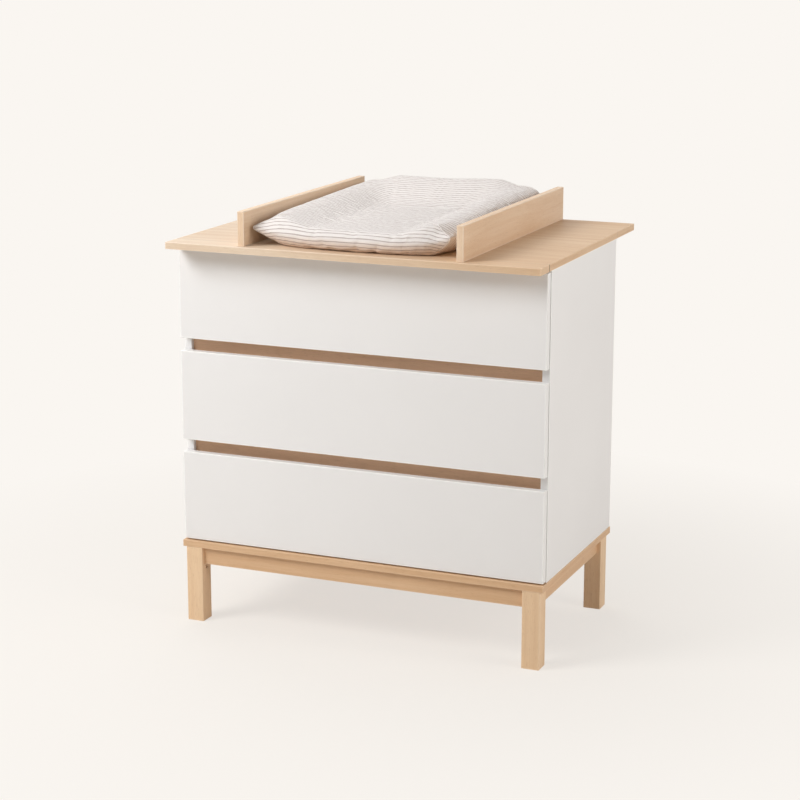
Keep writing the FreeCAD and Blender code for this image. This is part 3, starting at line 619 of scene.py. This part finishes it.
# changing pad: a foam tray in a striped cover. Its front corners are pointed ears at half height
padSet = {
    # plan
    "halfWidth": 0.2440, "sideDraw": 0.004, "inset": 0.003, "frontBow": 0.020, "rearBow": 0.008,
    "rightIn": 0.008, "rightEarIn": 0.006, "rightEarReach": 0.16, "rearCorner": 0.048,
    # rims and hollow
    "rimFront": 0.064, "rimRear": 0.080, "rightRimRise": 0.004, "crestIn": 0.046,
    "bowl": 0.047, "bowlHalf": 0.090, "bowlHalfRear": 0.125, "bowlEnd": 0.62, "bowlClimb": 1.2,
    "bowlSlopeLeast": 0.01, "rearCrown": 0.016,
    # the seam's height at the ears, the nose, the rear of the sides and the tail
    "earHeight": 0.042, "noseHeight": 0.026, "sideHeightRear": 0.048, "tailHeight": 0.042,
    "seamPower": 3,
    # how the edges close above and under the seam
    "footIn": 0.046, "footCutLeft": 0.034, "footCutRight": 0.012, "cutReach": 0.16,
    "rearRound": 0.078, "rearRoundCorner": 0.050, "topRoundMiddle": 0.026, "topRoundCorner": 0.046,
    "footRoundMiddle": 0.025, "footRoundCorner": 0.042, "roundPower": 2.0, "cornerPower": 1.25,
    "cornerReach": 0.13, "cornerGrowth": 1.4, "sidePower": 4, "rearPower": 2,
    # mesh and cloth
    "columns": 130, "rows": 160, "mergeWithin": 0.00005, "voxel": 0.005, "pressure": 0.5,
    "slack": 0.018, "foamHold": 0.2, "frames": 20, "maxMove": 0.006,
    # darts and ears
    "mitreUnder": 0.6, "dartFrom": 0.0005, "dartAbove": 0.062, "dartUnder": 0.060, "dartPoints": 26,
    "ears": ((-0.2485, -0.2985, 0.0420), (0.2315, -0.3080, 0.0480)), "earReach": 0.030,
    "earPower": 1.6, "sideLimit": 0.2520, "clearance": 0.0006,
}


def smooth(share):
    share = np.clip(share, 0.0, 1.0)
    return share * share * (3 - 2 * share)


def closing(share, power=2.0):
    # how far a closed edge has opened: 0 on it, 1 from share 1 on; power 2 is round, 1 a wedge
    return np.maximum(0.0, 1 - (1 - np.clip(share, 0.0, 1.0)) ** power) ** (1 / power)


def least(*shares):
    # the smallest of some shares, with the change from one to the next rounded off
    closed, sharpness = 0.001, 6.0
    total = sum(np.maximum(s, closed) ** -sharpness for s in shares) - (len(shares) - 1)
    return np.where(np.min(shares, axis=0) <= closed, 0.0, total ** (-1 / sharpness))


def padLength():
    low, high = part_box("changing_pad")
    return high.y - low.y - 2 * padSet["inset"]


def padHalf(x, along):
    # half width at each point: drawn in between the corners, the right ear further in, and the rear
    # corners round
    p = padSet
    half = p["halfWidth"] - p["sideDraw"] * np.sin(np.pi * np.clip(along, 0, 1))
    right = p["rightIn"] + p["rightEarIn"] * (1 - smooth(along / p["rightEarReach"]))
    corner = p["rearCorner"] * (1 - closing((1 - along) * padLength() / p["rearCorner"]))
    return half - np.where(x > 0, right, 0.0) - corner


def padForm(x, along):
    # seam height, top height and foot height at each point of the plan
    p = padSet
    length = padLength()
    half = padHalf(x, along)
    off = np.minimum(np.abs(x), half)
    sideIn, share = half - off, off / half
    rim = p["rimFront"] + (p["rimRear"] - p["rimFront"]) * np.sin(np.pi / 2 * along)
    rightRise = np.where(x > 0, p["rightRimRise"], 0.0)
    rim = rim + rightRise * along * np.minimum(off / p["bowlHalf"], 1.0)
    rise = smooth((along - p["bowlEnd"]) / (1 - p["bowlEnd"]) * p["bowlClimb"])
    bowl = p["bowl"] + (rim + p["rearCrown"] - p["bowl"]) * rise
    bowlHalf = p["bowlHalf"] + (p["bowlHalfRear"] - p["bowlHalf"]) * rise
    slope = np.maximum(half - p["crestIn"] - bowlHalf, p["bowlSlopeLeast"])
    inner = bowl + (rim - bowl) * smooth((off - bowlHalf) / slope)
    side = p["earHeight"] + (p["sideHeightRear"] - p["earHeight"]) * along
    middle = p["noseHeight"] + (p["tailHeight"] - p["noseHeight"]) * along
    seam = middle + (side - middle) * share ** p["seamPower"]
    # the two ends close over a few centimetres, and near an ear all edges turn from round to wedge
    fromFront, fromRear = along * length, (1 - along) * length
    nearEar = np.clip(1 - np.hypot(sideIn, fromFront) / p["cornerReach"], 0.0, 1.0)
    wedge = smooth(nearEar * p["cornerGrowth"])
    power = p["roundPower"] + (p["cornerPower"] - p["roundPower"]) * wedge
    nearSide = share ** p["sidePower"]
    topRound = p["topRoundMiddle"] + (p["topRoundCorner"] - p["topRoundMiddle"]) * nearSide
    footRound = p["footRoundMiddle"] + (p["footRoundCorner"] - p["footRoundMiddle"]) * nearSide
    cut = np.where(x > 0, p["footCutRight"], p["footCutLeft"]) * (1 - smooth(along / p["cutReach"]))
    rearRound = p["rearRound"] + (p["rearRoundCorner"] - p["rearRound"]) * share ** p["rearPower"]
    rear = closing(fromRear / rearRound)
    topOpen = least(closing(sideIn / p["crestIn"], power),
                    closing(fromFront / topRound, power), rear)
    footOpen = least(closing(sideIn / (p["footIn"] + cut), power),
                     closing(fromFront / footRound, power), rear)
    return seam, seam + (inner - seam) * topOpen, seam * (1 - footOpen)


def walkedOver(surface):
    # the length over the surface from its front edge to each of its rows
    steps = np.linalg.norm(np.diff(surface, axis=0), axis=2)
    return np.concatenate([np.zeros((1, steps.shape[1])), np.cumsum(steps, axis=0)])


def coverPlaces(upper, lower, across, along):
    # where each point lies on the cover, which is one sheet with a dart at each corner: the length
    # across the stripes on the panels that hang down in front and behind, the same on the side
    # panels, and how far a point is past the dart, on a side panel
    p = padSet
    length = padLength()
    sideIn = padHalf(across, along) * (1 - np.abs(across))
    fromFront, fromRear = along * length, (1 - along) * length
    start = int(np.argmax(along[:, 0] * length > p["topRoundCorner"]))
    stop = int(np.argmax(along[:, 0] * length > length - p["rearRound"])) - 1
    walked, under = walkedOver(upper), walkedOver(lower)
    straight = upper[:, :, 1]
    lengthAbove = straight.copy()
    lengthAbove[:start] = straight[start] - (walked[start] - walked[:start])
    lengthAbove[stop:] = straight[stop] + (walked[stop:] - walked[stop])
    lengthUnder = np.where(along < 0.5, lengthAbove[0] - under, lengthAbove[-1] + under[-1] - under)
    fromEnd = np.minimum(fromFront, fromRear)
    above = np.stack([lengthAbove, straight, fromEnd - sideIn], axis=2)
    below = np.stack([lengthUnder, straight, fromEnd / p["mitreUnder"] - sideIn], axis=2)
    return np.concatenate([above.reshape(-1, 3), below.reshape(-1, 3)])


def padSurface(across, along):
    # the upper and the lower surface at shares across (-1 to 1) and along (0 to 1) the pad
    p = padSet
    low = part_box("changing_pad")[0]
    x = across * padHalf(across, along)
    _, top, bottom = padForm(x, along)
    bow = p["frontBow"] * across ** 2 * (1 - along) - p["rearBow"] * across ** 2 * along
    y = low.y + p["inset"] + along * padLength() + bow
    base = low.z + p["clearance"]
    return np.stack([x, y, base + top], axis=-1), np.stack([x, y, base + bottom], axis=-1)


def dartPaths():
    # each corner's dart, from the crest out to the corner and down under it to the foot
    p = padSet
    paths = []
    for side in (-1, 1):
        for atRear in (False, True):
            halves = []
            for above, reach, slope in ((True, p["dartAbove"], 1.0),
                                        (False, p["dartUnder"], p["mitreUnder"])):
                inwards = np.linspace(p["dartFrom"], reach, p["dartPoints"])
                along = inwards * slope / padLength()
                along = 1 - along if atRear else along
                across = side * (1 - inwards / padHalf(side, along))
                upper, lower = padSurface(across, along)
                halves.append(upper[::-1] if above else lower)
            paths.append(np.concatenate(halves))
    return paths


def makePadMesh():
    p = padSet
    turn = np.linspace(-1, 1, p["columns"] + 1)
    rows = 0.5 - 0.5 * np.cos(np.pi * np.linspace(0.0, 1.0, p["rows"] + 1))
    across, along = np.meshgrid(np.sin(turn * np.pi / 2), rows)
    upper, lower = padSurface(across, along)
    width, depth = p["columns"] + 1, p["rows"] + 1
    points = np.concatenate([upper.reshape(-1, 3), lower.reshape(-1, 3)])
    under = width * depth
    faces = []
    for i in range(depth - 1):
        for j in range(width - 1):
            a = i * width + j
            faces.append((a, a + 1, a + width + 1, a + width))
            faces.append((under + a + width, under + a + width + 1, under + a + 1, under + a))
    mesh = bpy.data.meshes.new("changingPadCover")
    mesh.from_pydata(points.tolist(), [], faces)
    bm = bmesh.new()
    bm.from_mesh(mesh)
    bmesh.ops.remove_doubles(bm, verts=bm.verts, dist=p["mergeWithin"])
    bmesh.ops.recalc_face_normals(bm, faces=bm.faces)
    bm.to_mesh(mesh)
    bm.free()
    pad = bpy.data.objects.new("changingPadCover", mesh)
    scene.collection.objects.link(pad)
    form = {"points": points, "faces": faces, "places": coverPlaces(upper, lower, across, along)}
    return pad, form


def pinsOn(corners, faces, points):
    # for each point the corners of the nearest face and their shares in it
    corners = [Vector(corner) for corner in corners]
    tree = BVHTree.FromPolygons(corners, faces)
    pins = []
    for point in points:
        found, _, face, _ = tree.find_nearest(Vector(point))
        around = list(faces[face])
        pins.append((around, poly_3d_calc([corners[corner] for corner in around], found)))
    return pins


def pinned(pins, values):
    return np.array([sum(share * values[corner] for corner, share in zip(*pin)) for pin in pins])


def applyModifiers(piece):
    depsgraph = bpy.context.evaluated_depsgraph_get()
    made = bpy.data.meshes.new_from_object(piece.evaluated_get(depsgraph))
    piece.modifiers.clear()
    piece.data = made


def meshPoints(mesh):
    points = np.zeros(len(mesh.vertices) * 3, np.float32)
    mesh.vertices.foreach_get("co", points)
    return points.reshape(-1, 3)


def evenPad(pad, form):
    # an even mesh for the cloth, with the place on the cover read from the modelled form
    remesh = pad.modifiers.new("remesh", "REMESH")
    remesh.mode = "VOXEL"
    remesh.voxel_size = padSet["voxel"]
    applyModifiers(pad)
    places = pinned(pinsOn(form["points"], form["faces"], meshPoints(pad.data)), form["places"])
    layer = pad.data.attributes.new("coverPlace", "FLOAT_VECTOR", "POINT")
    layer.data.foreach_set("vector", places.astype(np.float32).ravel())


def softenPad(pad):
    # the cover is a little larger than the foam, so it puffs up and wrinkles, and the foam holds it
    before = meshPoints(pad.data)
    foam = pad.vertex_groups.new(name="foam")
    foam.add(range(len(before)), padSet["foamHold"], "REPLACE")
    cloth = pad.modifiers.new("cloth", "CLOTH")
    cloth.settings.use_pressure = True
    cloth.settings.uniform_pressure_force = padSet["pressure"]
    cloth.settings.shrink_min = -padSet["slack"]
    cloth.settings.vertex_group_mass = foam.name
    cloth.settings.effector_weights.gravity = 0
    scene.frame_start = 1
    scene.frame_end = padSet["frames"]
    for step in range(1, padSet["frames"] + 1):
        scene.frame_set(step)
    applyModifiers(pad)
    scene.frame_set(1)
    pad.vertex_groups.clear()
    move = meshPoints(pad.data) - before
    size = np.linalg.norm(move, axis=1, keepdims=True)
    limit = np.minimum(1.0, padSet["maxMove"] / np.maximum(size, 1e-9))
    pad.data.vertices.foreach_set("co", (before + move * limit).astype(np.float32).ravel())
    mean, largest = 1000 * float(size.mean()), 1000 * float(size.max())
    print(f"pad simulated, mean and largest move {mean:.1f} and {largest:.1f} mm")


def pullEars(pad):
    # the front corners are drawn out to points, which the remesh had blunted
    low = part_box("changing_pad")[0]
    points = meshPoints(pad.data)
    for x, y, z in padSet["ears"]:
        ear = np.array((x, y, low.z + z))
        distance = np.linalg.norm(points - ear, axis=1)
        nearest = points[np.argmin(distance)].copy()
        fromTip = np.linalg.norm(points - nearest, axis=1)
        weight = np.clip(1 - fromTip / padSet["earReach"], 0.0, 1.0) ** padSet["earPower"]
        points += (ear - nearest) * weight[:, None]
        print(f"ear drawn out by {1000 * float(distance.min()):.1f} mm")
    pad.data.vertices.foreach_set("co", points.astype(np.float32).ravel())


def settlePad(pad):
    # one finer level, then flat where it lies on the top, and clear of the two uprights
    divide = pad.modifiers.new("divide", "SUBSURF")
    divide.levels = divide.render_levels = 1
    applyModifiers(pad)
    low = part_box("changing_pad")[0]
    points = meshPoints(pad.data)
    points[:, 2] = np.maximum(points[:, 2], low.z + padSet["clearance"])
    points[:, 0] = np.clip(points[:, 0], -padSet["sideLimit"], padSet["sideLimit"])
    pad.data.vertices.foreach_set("co", points.ravel())
    pad.data.update()


clothLook = {
    "ground": tint(255, 250, 247), "shade": tint(251, 243, 238), "stripe": tint(174, 152, 147),
    "pitch": 0.0100, "stripeWidth": 0.22, "stripeAmount": 0.85, "stripeFade": 0.2,
    "driftScale": 9.0, "driftAmount": 0.005, "fibreScale": 900.0, "shadeAmount": 0.4,
    # painted shade and painted warm bounce light on the lowest part of the cover
    "footShadeTint": tint(243, 220, 200), "footShadeHeight": 0.032, "roughness": 0.92, "sheen": 0.35,
    "thread": 0.0009, "slubScale": 60.0, "slubAmount": 1.5,
    "bumpStrength": 0.5, "bumpDistance": 0.0004,
}


def makeStripeGroup():
    # thin stripes along the cover: 1 on a stripe, 0 between
    inputs = [("Place", "Float", 0.0), ("Pitch", "Float", 0.01), ("Width", "Float", 0.2)]
    tree, source, sink = newGroup("coverStripe", inputs, [("Mask", "Float", None)])
    core, rim = 0.3, 0.75  # in stripe widths from the stripe's middle
    turn = math2(tree, "DIVIDE", source.outputs["Place"], source.outputs["Pitch"])
    share = math2(tree, "FRACT", turn)
    fromMiddle = math2(tree, "ABSOLUTE", math2(tree, "SUBTRACT", share, 0.5))
    reach = math2(tree, "DIVIDE", fromMiddle, source.outputs["Width"])
    tree.links.new(remap(tree, reach, core, rim, 1.0, 0.0), sink.inputs["Mask"])
    return tree


def makeWeaveGroup():
    # threads over and under each other, on the object's own coordinates
    inputs = [("Vector", "Vector", None), ("Thread", "Float", 0.001)]
    tree, source, sink = newGroup("clothWeave", inputs, [("Height", "Float", None)])
    turn = math2(tree, "DIVIDE", 2 * math.pi, source.outputs["Thread"])
    axes = axesOf(tree, source.outputs["Vector"])
    waves = [math2(tree, "SINE", math2(tree, "MULTIPLY", axis, turn)) for axis in axes]
    flat = math2(tree, "MULTIPLY", waves[0], waves[1])
    upright = math2(tree, "MULTIPLY", math2(tree, "ADD", waves[0], waves[1]), waves[2])
    tree.links.new(math2(tree, "ADD", flat, upright), sink.inputs["Height"])
    return tree


stripeGroup = makeStripeGroup()
weaveGroup = makeWeaveGroup()


def coverMaterial():
    look = clothLook
    material, tree, shader = newMaterial(
        "padCover", Roughness=look["roughness"], Specular_IOR_Level=0.2,
        Sheen_Weight=look["sheen"], Sheen_Roughness=0.5)
    place = addNode(tree, "ShaderNodeAttribute", attribute_name="coverPlace").outputs["Vector"]
    onFront, onSide, pastDart = axesOf(tree, place)
    point = objectPoint(tree)
    # stripes that wander a little, laid out apart on the front and rear panels and on the sides
    wander = math2(tree, "SUBTRACT", noiseValue(tree, point, look["driftScale"], 2.0), 0.5)
    drift = math2(tree, "MULTIPLY", wander, look["driftAmount"])
    masks = []
    for panel in (onFront, onSide):
        inputs = {"Place": math2(tree, "ADD", panel, drift), "Pitch": look["pitch"],
                  "Width": look["stripeWidth"]}
        masks.append(placeGroup(tree, stripeGroup, inputs).outputs["Mask"])
    isSide = math2(tree, "GREATER_THAN", pastDart, 0.0)
    # inputs 2 and 3 are the two values of a plain Mix node
    stripe = addNode(tree, "ShaderNodeMix", {0: isSide, 2: masks[0], 3: masks[1]}).outputs[0]
    fibre = noiseValue(tree, point, look["fibreScale"], 2.0)
    strength = remap(tree, fibre, *noiseSpan, look["stripeAmount"] - look["stripeFade"],
                     look["stripeAmount"])
    shading = remap(tree, fibre, *noiseSpan, 0.0, look["shadeAmount"])
    ground = mixColour(tree, shading, look["ground"], look["shade"])
    striped = mixColour(tree, math2(tree, "MULTIPLY", stripe, strength), ground, look["stripe"])
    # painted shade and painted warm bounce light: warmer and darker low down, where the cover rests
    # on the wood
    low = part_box("changing_pad")[0]
    footShade = remap(tree, axesOf(tree, point)[2], low.z, low.z + look["footShadeHeight"], 1.0, 0.0)
    colour = mixColour(tree, footShade, striped, look["footShadeTint"], "MULTIPLY")
    weave = placeGroup(tree, weaveGroup, {"Vector": point, "Thread": look["thread"]})
    slub = noiseValue(tree, point, look["slubScale"], 3.0)
    height = math2(tree, "ADD", weave.outputs["Height"],
                   math2(tree, "MULTIPLY", slub, look["slubAmount"]))
    dress(tree, shader, look, colour, height)
    return material


seamSet = {
    "weltRadius": 0.0010, "rowOff": 0.0034, "lift": 0.0002,
    "stitchPitch": 0.0052, "stitchLength": 0.0034, "stitchRadius": 0.00045,
    "thread": tint(226, 214, 208), "threadShade": tint(206, 192, 186),
    "twistTurn": (25, 35, 0), "twistScale": 900.0, "bumpStrength": 0.4, "bumpDistance": 0.0001,
}


def makeSeamTree():
    # a welt along the seam lines and a row of stitches along the lines marked as stitched
    tree = bpy.data.node_groups.new("seamWork", "GeometryNodeTree")
    face = tree.interface
    face.new_socket("Geometry", in_out="INPUT", socket_type="NodeSocketGeometry")
    for title in ("Welt Radius", "Stitch Pitch", "Stitch Length", "Stitch Radius"):
        face.new_socket(title, in_out="INPUT", socket_type="NodeSocketFloat")
    for title in ("Cover", "Thread"):
        face.new_socket(title, in_out="INPUT", socket_type="NodeSocketMaterial")
    face.new_socket("Geometry", in_out="OUTPUT", socket_type="NodeSocketGeometry")
    source, sink = tree.nodes.new("NodeGroupInput"), tree.nodes.new("NodeGroupOutput")
    marked = addNode(tree, "GeometryNodeInputNamedAttribute", {"Name": "stitched"},
                     data_type="FLOAT")
    isRow = addNode(tree, "FunctionNodeCompare", {0: marked.outputs[0], 1: 0.5},
                    operation="GREATER_THAN")
    parts = addNode(tree, "GeometryNodeSeparateGeometry",
                    {"Geometry": source.outputs["Geometry"], "Selection": isRow.outputs[0]})
    rows = addNode(tree, "GeometryNodeMeshToCurve", {"Mesh": parts.outputs["Selection"]})
    spaced = addNode(tree, "GeometryNodeResampleCurve",
                     {"Curve": rows.outputs[0], "Length": source.outputs["Stitch Pitch"]},
                     mode="LENGTH")
    tangent = addNode(tree, "GeometryNodeInputTangent")
    turned = addNode(tree, "FunctionNodeAlignRotationToVector", {"Vector": tangent.outputs[0]},
                     axis="Z")
    ball = addNode(tree, "GeometryNodeMeshUVSphere", {"Segments": 6, "Rings": 5, "Radius": 1.0})
    radius = source.outputs["Stitch Radius"]
    halfLength = math2(tree, "MULTIPLY", source.outputs["Stitch Length"], 0.5)
    scale = addNode(tree, "ShaderNodeCombineXYZ", {0: radius, 1: radius, 2: halfLength})
    stitches = addNode(tree, "GeometryNodeInstanceOnPoints",
                       {"Points": spaced.outputs[0], "Instance": ball.outputs[0],
                        "Rotation": turned.outputs[0], "Scale": scale.outputs[0]})
    solid = addNode(tree, "GeometryNodeRealizeInstances", {0: stitches.outputs[0]})
    threaded = addNode(tree, "GeometryNodeSetMaterial",
                       {"Geometry": solid.outputs[0], "Material": source.outputs["Thread"]})
    lines = addNode(tree, "GeometryNodeMeshToCurve", {"Mesh": parts.outputs["Inverted"]})
    circle = addNode(tree, "GeometryNodeCurvePrimitiveCircle",
                     {"Resolution": 8, "Radius": source.outputs["Welt Radius"]})
    welt = addNode(tree, "GeometryNodeCurveToMesh",
                   {"Curve": lines.outputs[0], "Profile Curve": circle.outputs[0],
                    "Fill Caps": True})
    covered = addNode(tree, "GeometryNodeSetMaterial",
                      {"Geometry": welt.outputs[0], "Material": source.outputs["Cover"]})
    joined = tree.nodes.new("GeometryNodeJoinGeometry")
    tree.links.new(covered.outputs[0], joined.inputs[0])
    tree.links.new(threaded.outputs[0], joined.inputs[0])
    tree.links.new(joined.outputs[0], sink.inputs[0])
    return tree


def threadMaterial():
    s = seamSet
    material, tree, shader = newMaterial("seamThread", Roughness=0.7, Specular_IOR_Level=0.3)
    twist = addNode(tree, "ShaderNodeTexWave",
                    {"Vector": objectPoint(tree, s["twistTurn"]), "Scale": s["twistScale"]},
                    bands_direction="DIAGONAL").outputs["Fac"]
    dress(tree, shader, s, mixColour(tree, twist, s["thread"], s["threadShade"]), twist)
    return material


def makeSeams(pad, lines, cover):
    # each line laid on the finished surface, with a row of stitches on each side of it
    s = seamSet
    corners = [vertex.co.copy() for vertex in pad.data.vertices]
    tree = BVHTree.FromPolygons(corners, [tuple(face.vertices) for face in pad.data.polygons])
    points, edges, stitched = [], [], []
    for line in lines:
        along = np.gradient(line, axis=0)
        for off in (0.0, -s["rowOff"], s["rowOff"]):
            start = len(points)
            for place, step in zip(line, along):
                spot, normal, _, _ = tree.find_nearest(Vector(place))
                sideways = normal.cross(Vector(step)).normalized()
                spot, normal, _, _ = tree.find_nearest(spot + off * sideways)
                points.append(spot + normal * s["lift"])
                stitched.append(1.0 if off else 0.0)
            edges += [(k, k + 1) for k in range(start, len(points) - 1)]
    mesh = bpy.data.meshes.new("padSeams")
    mesh.from_pydata(points, edges, [])
    mesh.attributes.new("stitched", "FLOAT", "POINT").data.foreach_set("value", stitched)
    seams = bpy.data.objects.new("padSeams", mesh)
    scene.collection.objects.link(seams)
    work = seams.modifiers.new("seamWork", "NODES")
    work.node_group = makeSeamTree()
    values = {"Welt Radius": s["weltRadius"], "Stitch Pitch": s["stitchPitch"],
              "Stitch Length": s["stitchLength"], "Stitch Radius": s["stitchRadius"],
              "Cover": cover, "Thread": threadMaterial()}
    for item in work.node_group.interface.items_tree:
        if item.in_out == "INPUT" and item.name in values:
            work[item.identifier] = values[item.name]
    applyModifiers(seams)
    return seams


padCover, padModel = makePadMesh()
evenPad(padCover, padModel)
padFaces = [tuple(face.vertices) for face in padCover.data.polygons]
dartPins = [pinsOn(meshPoints(padCover.data), padFaces, path) for path in dartPaths()]
softenPad(padCover)
pullEars(padCover)
dartLines = [pinned(pins, meshPoints(padCover.data)) for pins in dartPins]
settlePad(padCover)
clothCover = coverMaterial()
padCover.data.materials.clear()
padCover.data.materials.append(clothCover)
padSeams = makeSeams(padCover, dartLines, clothCover)
for piece in (padCover, padSeams):
    for face in piece.data.polygons:
        face.use_smooth = True
    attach(piece, "changing_pad")
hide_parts("changing_pad")
print("pad made:", len(padCover.data.polygons), "faces, seams:", len(padSeams.data.polygons))

print("scene ready")
